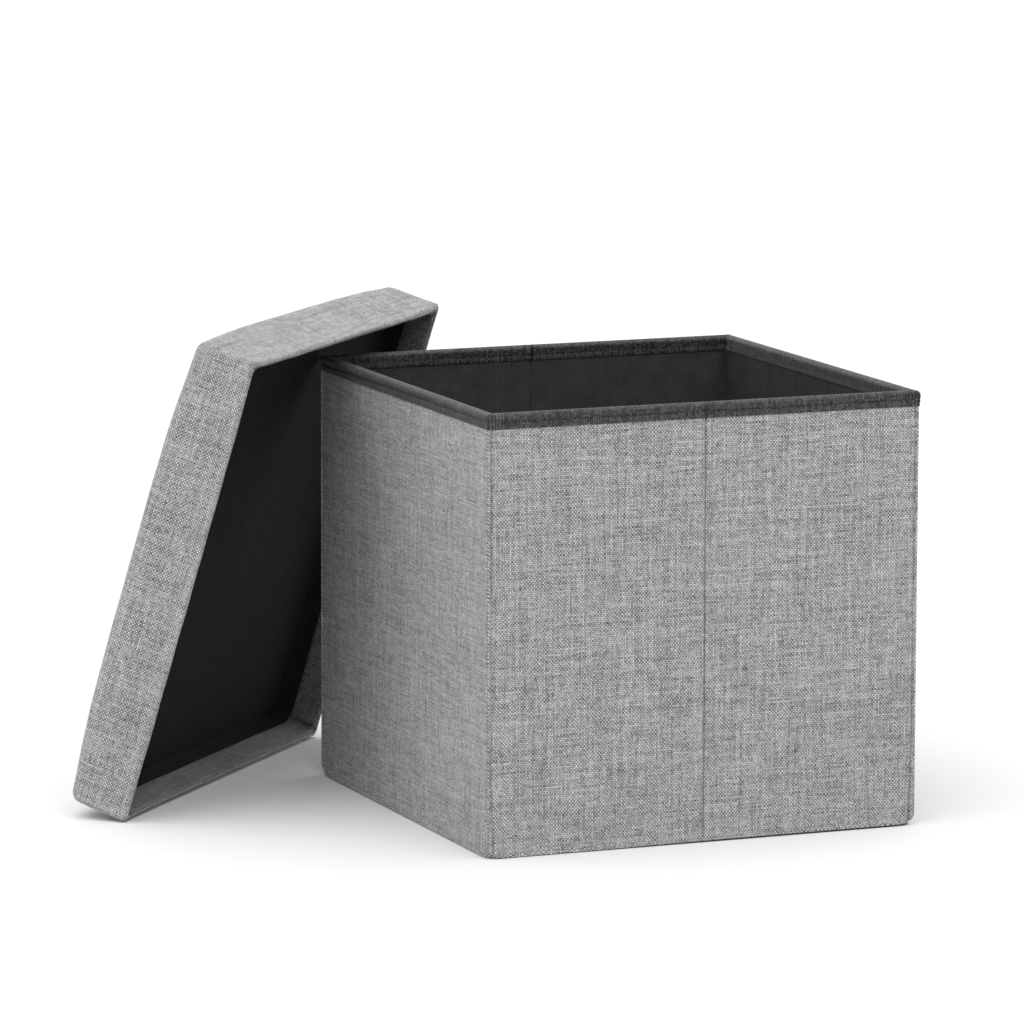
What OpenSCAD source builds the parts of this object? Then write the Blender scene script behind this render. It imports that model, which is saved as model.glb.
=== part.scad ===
// Folding storage ottoman: a cube-shaped fabric box with a lift-off padded lid.
// Millimetres, +Z up. The origin is the centre of the box's footprint, on the floor.
// +X runs to the right along the front wall, and +Y runs from the front wall to the back wall.
// The box stands open, and the lid leans on the box's back left corner with its open side to the box.

/* [Box] */
// Outer width and depth of the box, over the fabric
box_w = 354; // [340:1:360]
// Height of the rim above the floor
rim_z = 338; // [320:1:360]
// Height of the walls' lower edges above the floor
wall_foot_z = 4.1; // [4.1:0.1:6]
// Thickness of the stiff board in a wall
board_t = 4; // [3:0.5:4]
// Thickness of the outer fabric
fabric_t = 1; // [0.8:0.1:1]
// Thickness of the lining inside a wall
lining_t = 1; // [0.8:0.1:1]
// Cut across each lower corner of a side wall's board
board_cut = 12; // [4:1:20]
// Gap between the two halves of a wall that creases
crease_gap = 0.5; // [0.4:0.1:0.6]
// Gap between a creasing wall and the inner face of the wall beside it
corner_gap = 6; // [6:0.5:8]

/* [Rim binding] */
// Thickness of the binding tape
bind_t = 1; // [0.8:0.1:1]
// Height of the binding tape on each face of a wall
bind_h = 12; // [8:0.5:20]

/* [Bottom] */
// Thickness of the soft bottom sheet
sheet_t = 0.6; // [0.4:0.1:0.6]
// Height of the bottom sheet's turned-up edge
sheet_edge_h = 1.2; // [1:0.1:1.6]
// Height of the outer fabric's band that is sewn to the bottom sheet
foot_band_top = 3.8; // [3:0.1:3.8]
// Gap between the bottom sheet and the base board
base_gap = 0.2; // [0.1:0.1:0.2]
// Thickness of the base board with its wrap
base_t = 2.4; // [2:0.1:2.4]
// Thickness of the base board's wrap
base_wrap_t = 0.3; // [0.2:0.1:0.4]
// Length of the base board from its hinged edge to its free edge
base_len = 332; // [300:1:333]
// Width of the base board along its hinged edge
base_w = 330; // [300:1:336]
// Length of the pull ribbon
ribbon_len = 56; // [30:1:56]
// Width of the pull ribbon
ribbon_w = 20; // [10:1:30]
// Thickness of the pull ribbon
ribbon_t = 0.6; // [0.4:0.1:0.6]

/* [Lid] */
// Outer width and depth of the lid
lid_w = 380; // [376:1:384]
// Depth of the lid's hollow, from the open edge to the lining
lid_recess = 37; // [30:1:45]
// Height of the lid at its edges
lid_edge_h = 48; // [44:0.5:50]
// Height of the lid over the padding in the middle
lid_crown_h = 56; // [50:1:60]
// Thickness of the boards in the lid's sides
skirt_board_t = 4; // [3:0.5:4]
// Thickness of the lid's top board
top_board_t = 3; // [2:0.5:3]
// Thickness of the lid's lining
lid_lining_t = 0.6; // [0.4:0.1:0.8]
// Height of the fabric hem inside the lid
hem_h = 24; // [10:1:28]
// Width of the level middle of the padding
crown_w = 330; // [200:5:340]

/* [Leaning lid] */
// Angle between the lid's foot and +X, seen from above
lid_heading = 46.5; // [40:0.5:52]
// Lean of the lid from upright
lid_lean = 16.9; // [14:0.1:20]
// Distance along the lid's foot from its front corner to the box corner that it leans on
lean_u = 235; // [200:1:260]
// Gap between the lid's lining and that box corner
lean_gap = 1; // [0.8:0.1:3]

/* [Hidden] */

FABRIC = [0.60, 0.60, 0.60];
BINDING = [0.16, 0.16, 0.17];
LINING = [0.10, 0.10, 0.11];
BOARD = [0.66, 0.52, 0.36];
FOAM = [0.93, 0.90, 0.78];

// Faces of a wall in the front wall's place, counted from the outside in.
half_w = box_w / 2;
wall_t = fabric_t + board_t + lining_t;
inner_w = half_w - wall_t;
pivot_x = inner_w - corner_gap;
wall_top_z = rim_z - bind_t;

// Top of the webs, under the binding, and the gap that a web leaves at each of its edges.
web_top_z = rim_z - bind_h;
web_gap = 0.1;

// The base board's hinged edge.
base_x = -inner_w + 4.5;
base_z = sheet_t + base_gap;

// Faces of the lid, with its open edge at z = 0 and its middle on the Z axis.
lid_half = lid_w / 2;
skirt_in = lid_half - fabric_t - skirt_board_t;
hem_in = skirt_in - fabric_t;
lid_board_z = lid_recess + lid_lining_t;
foam_z = lid_board_z + top_board_t;

// Directions along the lid's foot, up its slope and out of its padded face.
lid_u = [cos(lid_heading), sin(lid_heading), 0];
lid_v = [sin(lid_heading) * sin(lid_lean), -cos(lid_heading) * sin(lid_lean), cos(lid_lean)];
lid_n = [-sin(lid_heading) * cos(lid_lean), cos(lid_heading) * cos(lid_lean), sin(lid_lean)];

// The lid's foot stands on the floor, and its lining leans on the rim at the back left corner.
lean_corner = [-half_w - bind_t, half_w, rim_z];
lean_n = lid_recess - lean_gap;
lean_v = (rim_z - lean_n * sin(lid_lean)) / cos(lid_lean);
lid_foot = lean_corner - lean_u * lid_u - lean_v * lid_v - lean_n * lid_n;
lid_centre = lid_foot + lid_half * (lid_u + lid_v);

// A block between two corners.
module block(low, high)
{
    translate(low)
        cube(high - low);
}

// Turn of each wall about Z, from the front wall's place.
function wall_turn(wall) =
    wall == "left" ? -90 :
    wall == "right" ? 90 :
    wall == "back_left" || wall == "back_right" ? 180 : 0;

// The two ends of each wall, along the wall in the front wall's place.
function wall_ends(wall) =
    wall == "left" || wall == "right" ? [-half_w, half_w] :
    wall == "front_left" || wall == "back_right" ? [-pivot_x, -crease_gap / 2] : [crease_gap / 2, pivot_x];

// The space of a wall's stiff board, inside the fabric that wraps its ends and its lower edge.
// A side wall's board has its lower corners cut off, where the box's own corners are soft.
module board_space(wall)
{
    ends = wall_ends(wall);
    cut = wall == "left" || wall == "right" ? board_cut : 0;
    low_x = ends[0] + fabric_t;
    high_x = ends[1] - fabric_t;
    low_z = wall_foot_z + fabric_t;
    translate([0, -inner_w - lining_t, 0])
        rotate([90, 0, 0])
            linear_extrude(height = board_t)
                polygon(concat(
                    [[low_x, wall_top_z], [low_x, low_z + cut]],
                    cut > 0 ? [[low_x + cut, low_z], [high_x - cut, low_z]] : [[high_x, low_z]],
                    cut > 0 ? [[high_x, low_z + cut]] : [],
                    [[high_x, wall_top_z]]
                ));
}

module wall_board(wall)
{
    color(BOARD)
        rotate([0, 0, wall_turn(wall)])
            board_space(wall);
}

module wall_cover(wall)
{
    ends = wall_ends(wall);
    color(FABRIC)
        rotate([0, 0, wall_turn(wall)])
            difference() {
                block([ends[0], -half_w, wall_foot_z], [ends[1], -inner_w - lining_t, wall_top_z]);
                board_space(wall);
            }
}

module wall_lining(wall)
{
    ends = wall_ends(wall);
    color(LINING)
        rotate([0, 0, wall_turn(wall)])
            block([ends[0], -inner_w - lining_t, wall_foot_z], [ends[1], -inner_w, wall_top_z]);
}

module wall_binding(wall)
{
    ends = wall_ends(wall);
    color(BINDING)
        rotate([0, 0, wall_turn(wall)])
            difference() {
                block([ends[0], -half_w - bind_t, rim_z - bind_h], [ends[1], -inner_w + bind_t, rim_z]);
                block([ends[0], -half_w, rim_z - bind_h], [ends[1], -inner_w, wall_top_z]);
            }
}

// Fabric across the gap between a side wall and a creasing wall.
// side_x is -1 at the left and 1 at the right, and side_y is -1 at the front and 1 at the back.
module corner_web(side_x, side_y)
{
    color(FABRIC)
        mirror([side_x > 0 ? 1 : 0, 0, 0])
            mirror([0, side_y > 0 ? 1 : 0, 0])
                block(
                    [-inner_w + web_gap, -half_w, wall_foot_z],
                    [-pivot_x - web_gap, -half_w + fabric_t, web_top_z]
                );
}

// Fabric across the crease between the two halves of a wall.
module crease_web(side_y)
{
    color(FABRIC)
        mirror([0, side_y > 0 ? 1 : 0, 0])
            block(
                [-crease_gap / 2 + web_gap, -half_w, wall_foot_z],
                [crease_gap / 2 - web_gap, -half_w + fabric_t, web_top_z]
            );
}

// A square ring as thick as the outer fabric, flush with the outside of the box.
module foot_ring(z0, z1)
{
    ring_in = half_w - fabric_t;
    difference() {
        block([-half_w, -half_w, z0], [half_w, half_w, z1]);
        block([-ring_in, -ring_in, z0], [ring_in, ring_in, z1]);
    }
}

module bottom_sheet()
{
    color(LINING)
        union() {
            block([-half_w, -half_w, 0], [half_w, half_w, sheet_t]);
            foot_ring(sheet_t, sheet_edge_h);
        }
}

module foot_band()
{
    color(FABRIC)
        foot_ring(sheet_edge_h, foot_band_top);
}

// The base board's block, shrunk on all sides by inset.
module base_block(inset)
{
    block(
        [base_x + inset, -base_w / 2 + inset, base_z + inset],
        [base_x + base_len - inset, base_w / 2 - inset, base_z + base_t - inset]
    );
}

module base_board()
{
    color(BOARD)
        base_block(base_wrap_t);
}

module base_wrap()
{
    color(LINING)
        difference() {
            base_block(0);
            base_block(base_wrap_t);
        }
}

module base_ribbon()
{
    edge_inset = 9;
    ribbon_x = base_x + base_len - edge_inset - ribbon_len;
    color(BINDING)
        block(
            [ribbon_x, -ribbon_w / 2, base_z + base_t],
            [ribbon_x + ribbon_len, ribbon_w / 2, base_z + base_t + ribbon_t]
        );
}

// Moves the lid from its own frame to where it leans.
module lean()
{
    translate(lid_centre)
        rotate([0, 0, lid_heading + 180])
            rotate([90 - lid_lean, 0, 0])
                children();
}

// A square slab about the Z axis.
module slab(width, z0, z1)
{
    block([-width / 2, -width / 2, z0], [width / 2, width / 2, z1]);
}

// A slab that rises from its edges to a level middle.
module crowned_slab(width, middle_width, z0, edge_z, middle_z)
{
    hull() {
        slab(width, z0, edge_z);
        slab(middle_width, z0, middle_z);
    }
}

// Padding, as wide as the top board.
module foam_block()
{
    crowned_slab(lid_w - 2 * fabric_t, crown_w, foam_z, lid_edge_h - fabric_t, lid_crown_h - fabric_t);
}

module lid_top_board()
{
    color(BOARD)
        lean()
            slab(lid_w - 2 * fabric_t, lid_board_z, foam_z);
}

module lid_foam()
{
    color(FOAM)
        lean()
            foam_block();
}

module lid_top_cover()
{
    color(FABRIC)
        lean()
            difference() {
                crowned_slab(lid_w, crown_w, lid_board_z, lid_edge_h, lid_crown_h);
                slab(lid_w - 2 * fabric_t, lid_board_z - 1, foam_z);
                foam_block();
            }
}

module lid_lining()
{
    color(LINING)
        lean()
            difference() {
                slab(2 * skirt_in, hem_h, lid_board_z);
                slab(2 * (skirt_in - lid_lining_t), hem_h - 1, lid_recess);
            }
}

// The board of one side of the lid, in the place of the side at -Y.
module skirt_board(turn, half_len)
{
    color(BOARD)
        lean()
            rotate([0, 0, turn])
                block([-half_len, -lid_half + fabric_t, fabric_t], [half_len, -skirt_in, lid_board_z]);
}

// The fabric round the outside, the open edge and the inner hem of one side.
module skirt_cover(turn, half_len, board_half_len, hem_half_len)
{
    color(FABRIC)
        lean()
            rotate([0, 0, turn])
                difference() {
                    union() {
                        block([-half_len, -lid_half, 0], [half_len, -skirt_in, lid_board_z]);
                        block([-hem_half_len, -skirt_in, 0], [hem_half_len, -hem_in, hem_h]);
                    }
                    block(
                        [-board_half_len, -lid_half + fabric_t, fabric_t],
                        [board_half_len, -skirt_in, lid_board_z]
                    );
                }
}

// The front and back sides run the whole width of the lid, and the left and right sides fit between.
module long_side_board(turn)
{
    skirt_board(turn, lid_half - fabric_t);
}

module short_side_board(turn)
{
    skirt_board(turn, skirt_in);
}

module long_side_cover(turn)
{
    skirt_cover(turn, lid_half, lid_half - fabric_t, hem_in);
}

module short_side_cover(turn)
{
    skirt_cover(turn, skirt_in, skirt_in, skirt_in);
}

wall_cover("left");  // left_cover
wall_board("left");  // left_board
wall_lining("left");  // left_lining
wall_binding("left");  // left_binding

wall_cover("right");  // right_cover
wall_board("right");  // right_board
wall_lining("right");  // right_lining
wall_binding("right");  // right_binding

wall_cover("front_left");  // front_left_cover
wall_board("front_left");  // front_left_board
wall_lining("front_left");  // front_left_lining
wall_binding("front_left");  // front_left_binding

wall_cover("front_right");  // front_right_cover
wall_board("front_right");  // front_right_board
wall_lining("front_right");  // front_right_lining
wall_binding("front_right");  // front_right_binding

wall_cover("back_left");  // back_left_cover
wall_board("back_left");  // back_left_board
wall_lining("back_left");  // back_left_lining
wall_binding("back_left");  // back_left_binding

wall_cover("back_right");  // back_right_cover
wall_board("back_right");  // back_right_board
wall_lining("back_right");  // back_right_lining
wall_binding("back_right");  // back_right_binding

corner_web(-1, -1);  // front_left_corner_web
corner_web(1, -1);  // front_right_corner_web
corner_web(-1, 1);  // back_left_corner_web
corner_web(1, 1);  // back_right_corner_web
crease_web(-1);  // front_crease_web
crease_web(1);  // back_crease_web

bottom_sheet();
foot_band();
base_board();
base_wrap();
base_ribbon();

lid_top_board();
lid_foam();
lid_top_cover();
lid_lining();
long_side_board(0);  // lid_front_board
long_side_board(180);  // lid_back_board
short_side_board(-90);  // lid_left_board
short_side_board(90);  // lid_right_board
long_side_cover(0);  // lid_front_cover
long_side_cover(180);  // lid_back_cover
short_side_cover(-90);  // lid_left_cover
short_side_cover(90);  // lid_right_cover
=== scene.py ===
import math

import bpy
import numpy as np
from mathutils import Matrix, Vector


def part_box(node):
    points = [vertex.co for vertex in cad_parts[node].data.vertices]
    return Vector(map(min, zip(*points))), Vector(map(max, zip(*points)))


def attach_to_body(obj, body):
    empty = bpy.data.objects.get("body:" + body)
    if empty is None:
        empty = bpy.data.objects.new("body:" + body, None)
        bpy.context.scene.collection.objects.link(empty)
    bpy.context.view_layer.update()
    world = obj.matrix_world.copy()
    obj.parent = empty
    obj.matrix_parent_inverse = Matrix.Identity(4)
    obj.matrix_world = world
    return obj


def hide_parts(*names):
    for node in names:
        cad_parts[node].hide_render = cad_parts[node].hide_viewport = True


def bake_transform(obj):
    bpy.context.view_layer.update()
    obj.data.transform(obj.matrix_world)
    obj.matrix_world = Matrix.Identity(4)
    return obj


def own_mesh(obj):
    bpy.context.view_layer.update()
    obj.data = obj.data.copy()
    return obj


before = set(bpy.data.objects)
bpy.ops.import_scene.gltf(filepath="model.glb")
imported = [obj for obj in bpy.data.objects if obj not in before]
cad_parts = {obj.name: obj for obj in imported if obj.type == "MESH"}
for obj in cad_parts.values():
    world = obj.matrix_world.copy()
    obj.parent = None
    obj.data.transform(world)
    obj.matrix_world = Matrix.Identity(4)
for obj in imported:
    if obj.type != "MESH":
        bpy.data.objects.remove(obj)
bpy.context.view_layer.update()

scene = bpy.context.scene

# Every shape below is worked out in millimetres and turned into metres when its mesh is made.
MM = 0.001

HALF = 177.0          # outer face of the walls
LINING_AT = 171.0     # inner face of the walls
PIVOT = 165.0         # corner pivots, on the inner face
RIM_Z = 338.0
BINDING_Z = 326.0     # lower edge of the binding
FOOT_BAND_Z = 3.9     # top of the foot band
SHEET_EDGE_Z = 1.2    # top of the bottom sheet's turned-up edge
CLOTH = 0.9           # thickness of the woven fabric
LINING = 0.8          # thickness of the walls' nonwoven lining
BINDING_LINE = 174.0  # middle of the rim, over which the binding is folded

LID_HALF = 190.0
LID_HEM_AT = 184.0    # inner face of the turned-in hem
LID_HEM_Z = 24.0      # how far the hem reaches into the lid
HEM_CORNER = 13.0     # radius of the hem's inner corners
LID_RECESS = 37.0     # the lining panel's face, from the open edge
LID_CORNER_Z = 51.0   # top of the padding near a corner
LID_PAD_Z = 57.6      # and along the rest of its edge
LID_CROWN = 2.0       # how much higher the middle of the padding is
LID_TOP_HALF = 174.0  # where the sides' shoulder ends and the level top begins

CREASE_CURL = 1.9     # radius of the fabric's curl into a crease
CREASE_DEPTH = 5.1    # how far the fabric runs in over the board's end
CREASE_LEAD = -14.0   # where the plan's steps get finer, from the crease
CREASE_HALF = 1.15    # half the width of the fabric strip behind a crease
KNUCKLE = 5.0         # radius of the quarter turn that fills the opened corner
FAR = 99.0            # a distance from a corner or a crease that means none is near
SHARP_EDGE = math.radians(42)

# What each uneven surface starts its random draws from.
CREASE_SEED, COVER_SEED, SHADE_SEED, LINING_SEED, TAPE_SEED = 7, 10, 17, 30, 50
HEM_SEED, SIDE_SEED, PANEL_SEED, PAD_SEED = 71, 73, 81, 91

# Distances from a corner at which a wall's plan has a point.
CORNER_STEPS = np.array(
    [0, 0.4, 0.8, 1.2, 1.6, 2, 2.4, 2.8, 3.2, 3.6, 4.1, 4.7, 5.4, 6.3, 7.5, 9, 11, 14, 18, 23, 29]
)


# ---- small helpers


def smooth(value, low, high):
    """0 below low, 1 above high, and a smooth step between."""
    share = np.clip((value - low) / (high - low), 0, 1)
    return share * share * (3 - 2 * share)


def bell(distance, width):
    return np.exp(-((distance / width) ** 2))


def ripple(u, v, seed, waves=(50, 150), count=7):
    """A soft uneven surface, nearly always within -1 and 1, the same each run."""
    rng = np.random.default_rng(seed)
    total = 0
    for _ in range(count):
        turn = rng.uniform(0, math.pi)
        wave = rng.uniform(*waves)
        phase = rng.uniform(0, 2 * math.pi)
        total = total + np.sin(
            2 * math.pi * (u * math.cos(turn) + v * math.sin(turn)) / wave + phase
        )
    return total / math.sqrt(2 * count) / 1.6


def plan_radius(z):
    """The box's corners are nearly square, and round off towards the floor."""
    return 1.5 + 16 * np.clip(1 - z / 10, 0, 1) ** 2.1


def rounded(x, y, half, radius):
    """Plan points of the square of size half, with its corners rounded."""
    dx = np.abs(x) - (half - radius)
    dy = np.abs(y) - (half - radius)
    near = (dx > 1e-6) & (dy > 1e-6)
    reach = np.maximum(dx, dy)
    length = np.where(near, np.hypot(dx, dy), 1)
    return np.stack([
        np.where(near, np.sign(x) * (half - radius + dx / length * reach), x),
        np.where(near, np.sign(y) * (half - radius + dy / length * reach), y),
    ], -1)


def add_object(name, data):
    thing = bpy.data.objects.new(name, data)
    scene.collection.objects.link(thing)
    return thing


def make_piece(name, points, faces, material, weave=None, corner_weave=None):
    """A mesh piece from points in mm, with its flat cloth place given per point or face corner."""
    mesh = bpy.data.meshes.new(name)
    mesh.from_pydata((np.asarray(points, float) * MM).tolist(), [], [list(map(int, f)) for f in faces])
    for domain, place in (("POINT", weave), ("CORNER", corner_weave)):
        if place is not None:
            flat = np.zeros((len(place), 3), np.float32)
            flat[:, :2] = np.asarray(place) * MM
            store = mesh.attributes.new("weave", "FLOAT_VECTOR", domain)
            store.data.foreach_set("vector", flat.ravel())
    mesh.validate()
    mesh.shade_smooth()
    mesh.set_sharp_from_angle(angle=SHARP_EDGE)
    mesh.materials.append(material)
    return add_object(name, mesh)


def mark_painted_shade(piece, share):
    """Stores how much darker the cloth is painted at each vertex: painted shade."""
    store = piece.data.attributes.new("painted_shade", "FLOAT", "POINT")
    store.data.foreach_set("value", np.asarray(share, np.float32))


def slab(outer, inner):
    """Points and faces of a closed piece between two grids of the same size."""
    rows, cols = outer.shape[:2]
    size = rows * cols
    index = np.arange(size).reshape(rows, cols)
    front = np.stack([index[:-1, :-1], index[:-1, 1:], index[1:, 1:], index[1:, :-1]], -1).reshape(-1, 4)
    rim = [
        (index[0, 1:], index[0, :-1]),
        (index[-1, :-1], index[-1, 1:]),
        (index[:-1, 0], index[1:, 0]),
        (index[1:, -1], index[:-1, -1]),
    ]
    walls = [np.stack([a, b, b + size, a + size], -1) for a, b in rim]
    faces = np.concatenate([front, front[:, ::-1] + size, *walls])
    return np.concatenate([outer.reshape(-1, 3), inner.reshape(-1, 3)]), faces


def rotate(points, degrees):
    turn = math.radians(degrees)
    c, s = math.cos(turn), math.sin(turn)
    x, y = points[..., 0], points[..., 1]
    return np.stack([x * c - y * s, x * s + y * c, points[..., 2]], -1)


# ---- materials


class Shade:
    """A material whose nodes are added by short calls."""

    def __init__(self, name, **values):
        self.material = bpy.data.materials.new(name)
        self.material.use_nodes = True
        self.tree = self.material.node_tree
        self.shader = next(n for n in self.tree.nodes if n.type == "BSDF_PRINCIPLED")
        for socket, value in values.items():
            self.shader.inputs[socket.replace("_", " ")].default_value = value

    def node(self, kind, *values):
        """A new node whose first inputs are set, or linked to other nodes."""
        node = self.tree.nodes.new("ShaderNode" + kind)
        for socket, value in zip(node.inputs, values):
            if isinstance(value, bpy.types.NodeSocket):
                self.tree.links.new(value, socket)
            else:
                socket.default_value = value
        return node

    def math(self, operation, *values):
        node = self.node("Math", *values)
        node.operation = operation
        return node.outputs[0]

    def add(self, *values):
        total = values[0]
        for value in values[1:]:
            total = self.math("ADD", total, value)
        return total

    def total(self, start, *terms):
        """start, and each value times its weight."""
        return self.add(start, *(self.times(value, weight) for value, weight in terms))

    def times(self, *values):
        total = values[0]
        for value in values[1:]:
            total = self.math("MULTIPLY", total, value)
        return total

    def sine(self, value, turns):
        return self.math("SINE", self.times(value, turns))

    def mix(self, share, low, high):
        """low where share is 0 and high where it is 1."""
        return self.add(low, self.times(share, self.math("SUBTRACT", high, low)))

    def vector(self, x, y, z=0.0):
        return self.node("CombineXYZ", x, y, z).outputs[0]

    def noise(self, place, scale=1.0, detail=2.0, rough=0.5):
        """Centred on 0."""
        node = self.node("TexNoise", place)
        node.noise_dimensions = "3D"
        for socket, value in (("Scale", scale), ("Detail", detail), ("Roughness", rough)):
            node.inputs[socket].default_value = value
        return self.math("SUBTRACT", node.outputs[0], 0.5)

    def speck(self, place):
        """A different value, centred on 0, for each whole-numbered place."""
        node = self.node("TexWhiteNoise", place)
        node.noise_dimensions = "3D"
        return self.math("SUBTRACT", node.outputs["Value"], 0.5)

    def attribute(self, name):
        node = self.node("Attribute")
        node.attribute_name = name
        return node.outputs

    def weave_place(self):
        """The flat cloth place: x, y and both as a vector."""
        place = self.attribute("weave")["Vector"]
        x, y, _ = self.node("SeparateXYZ", place).outputs
        return x, y, place

    def brightness(self):
        """1, or less where the cloth carries painted shade."""
        return self.math("SUBTRACT", 1.0, self.attribute("painted_shade")["Fac"])

    def object_place(self):
        return self.node("TexCoord").outputs["Object"]

    def colour(self, red, green, blue):
        mixed = self.node("CombineColor", red, green, blue).outputs[0]
        self.tree.links.new(mixed, self.shader.inputs["Base Color"])

    def bump(self, height, strength, distance):
        node = self.node("Bump", strength, distance)
        self.tree.links.new(height, node.inputs["Height"])
        self.tree.links.new(node.outputs[0], self.shader.inputs["Normal"])


WARP_PITCH = 1.32 * MM
WEFT_PITCH = 1.46 * MM
FABRIC_TONE = 0.378   # the fabric's mean brightness
YARN_OFFSET = 5000.0  # keeps the yarns' numbers above 0


def woven_fabric():
    """Plain weave in melange grey: lighter warp over darker weft, each yarn uneven along its length."""
    s = Shade(
        "woven_grey", Roughness=0.93, Specular_IOR_Level=0.18, Sheen_Weight=0.12, Sheen_Roughness=0.6
    )
    x, y, place = s.weave_place()
    sway_x = s.noise(place, 70, 1)
    sway_y = s.noise(s.vector(s.add(y, 3.1), x, 0.7), 70, 1)
    a = s.add(s.times(x, 1 / WARP_PITCH), s.times(sway_x, 0.9), YARN_OFFSET)
    b = s.add(s.times(y, 1 / WEFT_PITCH), s.times(sway_y, 0.9), YARN_OFFSET)
    warp, weft = s.math("FLOOR", a), s.math("FLOOR", b)
    over = s.math("MODULO", s.add(warp, weft), 2.0)
    across, along = s.math("FRACT", a), s.math("FRACT", b)
    crown = s.times(s.sine(across, math.pi), s.sine(along, math.pi))
    crown = s.math("POWER", s.math("MAXIMUM", crown, 0.0), 0.6)
    warp_tone = s.noise(s.vector(s.times(warp, 3.71), s.times(y, 150.0), 0.3), 1.0, 3.0, 0.6)
    weft_tone = s.noise(s.vector(s.times(x, 150.0), s.times(weft, 3.71), 7.7), 1.0, 3.0, 0.6)
    warp_level = s.noise(s.vector(s.times(warp, 5.13), s.times(y, 22.0), 4.4), 1.0, 1.0)
    weft_level = s.noise(s.vector(s.times(x, 22.0), s.times(weft, 5.13), 9.1), 1.0, 1.0)
    tone = s.mix(over, weft_tone, warp_tone)
    level = s.mix(over, weft_level, warp_level)
    fleck = s.speck(s.vector(warp, weft))
    streak = s.add(warp_tone, weft_tone)
    band = s.add(warp_level, weft_level)
    fuzz = s.noise(place, 1500, 1)
    cloud = s.noise(place, 28, 2)
    value = s.total(
        1.0, (tone, 0.8), (streak, 0.55), (level, 0.5), (band, 0.6), (fleck, 0.4),
        (s.math("SUBTRACT", over, 0.5), 0.6), (fuzz, 3.0), (cloud, 0.16),
    )
    # The yarns are painted darker towards their edges and in the gaps between them: painted shade.
    value = s.times(s.math("MAXIMUM", value, 0.10), s.total(0.42, (crown, 0.76)))
    # Darker where a piece carries painted shade: the grooves beside the corners and the lid's inner hem.
    value = s.times(s.math("MINIMUM", s.times(value, FABRIC_TONE), 0.92), s.brightness())
    s.colour(value, s.times(value, 0.998), s.times(value, 1.004))
    s.bump(s.total(crown, (tone, 0.9), (fuzz, 0.5)), 0.6, 0.3 * MM)
    return s.material


RIB_PITCH = 1.9 * MM
KNOT_PITCH = 1.8 * MM
TAPE_THREAD = 1.2 * MM
TAPE_TONE = 0.031


def ribbed_tape():
    """Grosgrain tape: fine ribs across its length."""
    s = Shade(
        "ribbed_tape", Roughness=0.5, Specular_IOR_Level=0.4, Sheen_Weight=0.15, Sheen_Roughness=0.4
    )
    x, y, place = s.weave_place()
    count = s.times(s.add(x, s.times(s.noise(place, 300, 1), 0.0005), 5.0), 1 / RIB_PITCH)
    rib = s.math("ABSOLUTE", s.sine(count, math.pi))
    own = s.speck(s.vector(s.math("FLOOR", count), 0.0))
    thread = s.math("ABSOLUTE", s.sine(y, math.pi / TAPE_THREAD))
    grain = s.noise(place, 1100, 2)
    knot = s.speck(s.vector(s.math("FLOOR", count), s.math("FLOOR", s.times(y, 1 / KNOT_PITCH))))
    # The ribs' crests are painted lighter and the gaps between them darker: painted shade.
    value = s.total(-0.5, (rib, 2.3), (grain, 1.8), (thread, 0.2), (own, 0.9), (knot, 2.0))
    value = s.times(TAPE_TONE, s.math("MAXIMUM", value, 0.08))
    s.colour(value, value, s.times(value, 1.05))
    s.bump(s.total(rib, (grain, 0.4), (thread, 0.12)), 0.6, 0.4 * MM)
    return s.material


DOT_PITCH = 2.6 * MM


def nonwoven(name, level):
    """Spunbond nonwoven: matt felt of fine fibres, pressed in a grid of small dots."""
    s = Shade(name, Roughness=0.9, Specular_IOR_Level=0.15)
    x, y, place = s.weave_place()
    turns = math.pi / DOT_PITCH
    dots = s.times(
        s.math("COSINE", s.times(s.add(x, y), turns)),
        s.math("COSINE", s.times(s.math("SUBTRACT", x, y), turns)),
    )
    dots = s.math("POWER", s.math("ABSOLUTE", dots), 4.0)
    pressed = s.math("SMOOTH_MIN", s.math("SUBTRACT", 1.0, dots), 0.8, 0.2)
    fibres = s.noise(s.vector(s.times(x, 500.0), s.times(y, 2600.0), 1.0), 1.0, 2)
    mottle = s.noise(place, 60, 3)
    value = s.times(level, s.total(0.15, (pressed, 1.0), (fibres, 1.6), (mottle, 0.7)))
    s.colour(value, value, s.times(value, 1.06))
    s.bump(s.total(pressed, (fibres, 0.5), (mottle, 0.6)), 0.45, 0.3 * MM)
    return s.material


def fibreboard():
    s = Shade("fibreboard", Roughness=0.85, Specular_IOR_Level=0.25)
    place = s.object_place()
    fibre = s.noise(place, 420, 4, 0.7)
    blotch = s.noise(place, 22, 3)
    value = s.total(1.0, (fibre, 0.7), (blotch, 0.3))
    s.colour(s.times(value, 0.42), s.times(value, 0.30), s.times(value, 0.19))
    s.bump(fibre, 0.4, 0.3 * MM)
    return s.material


def open_foam():
    s = Shade("open_foam", Roughness=0.95, Specular_IOR_Level=0.1)
    place = s.object_place()
    cells = s.node("TexVoronoi", place)
    cells.inputs["Scale"].default_value = 900
    blotch = s.noise(place, 30, 3)
    value = s.total(0.80, (cells.outputs["Distance"], 0.25), (blotch, 0.2))
    s.colour(value, s.times(value, 0.95), s.times(value, 0.74))
    s.bump(cells.outputs["Distance"], 0.6, 0.4 * MM)
    return s.material


PLY_PITCH = 0.4 * MM


def sewing_thread():
    s = Shade("sewing_thread", Roughness=0.6, Specular_IOR_Level=0.4)
    x, y, place = s.weave_place()
    ply = s.sine(s.total(x, (y, 2.0)), 2 * math.pi / PLY_PITCH)
    grain = s.noise(place, 1500, 2)
    value = s.times(0.085, s.total(0.9, (ply, 0.2), (grain, 0.4)))
    s.colour(value, value, value)
    s.bump(ply, 0.4, 0.1 * MM)
    return s.material


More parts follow.
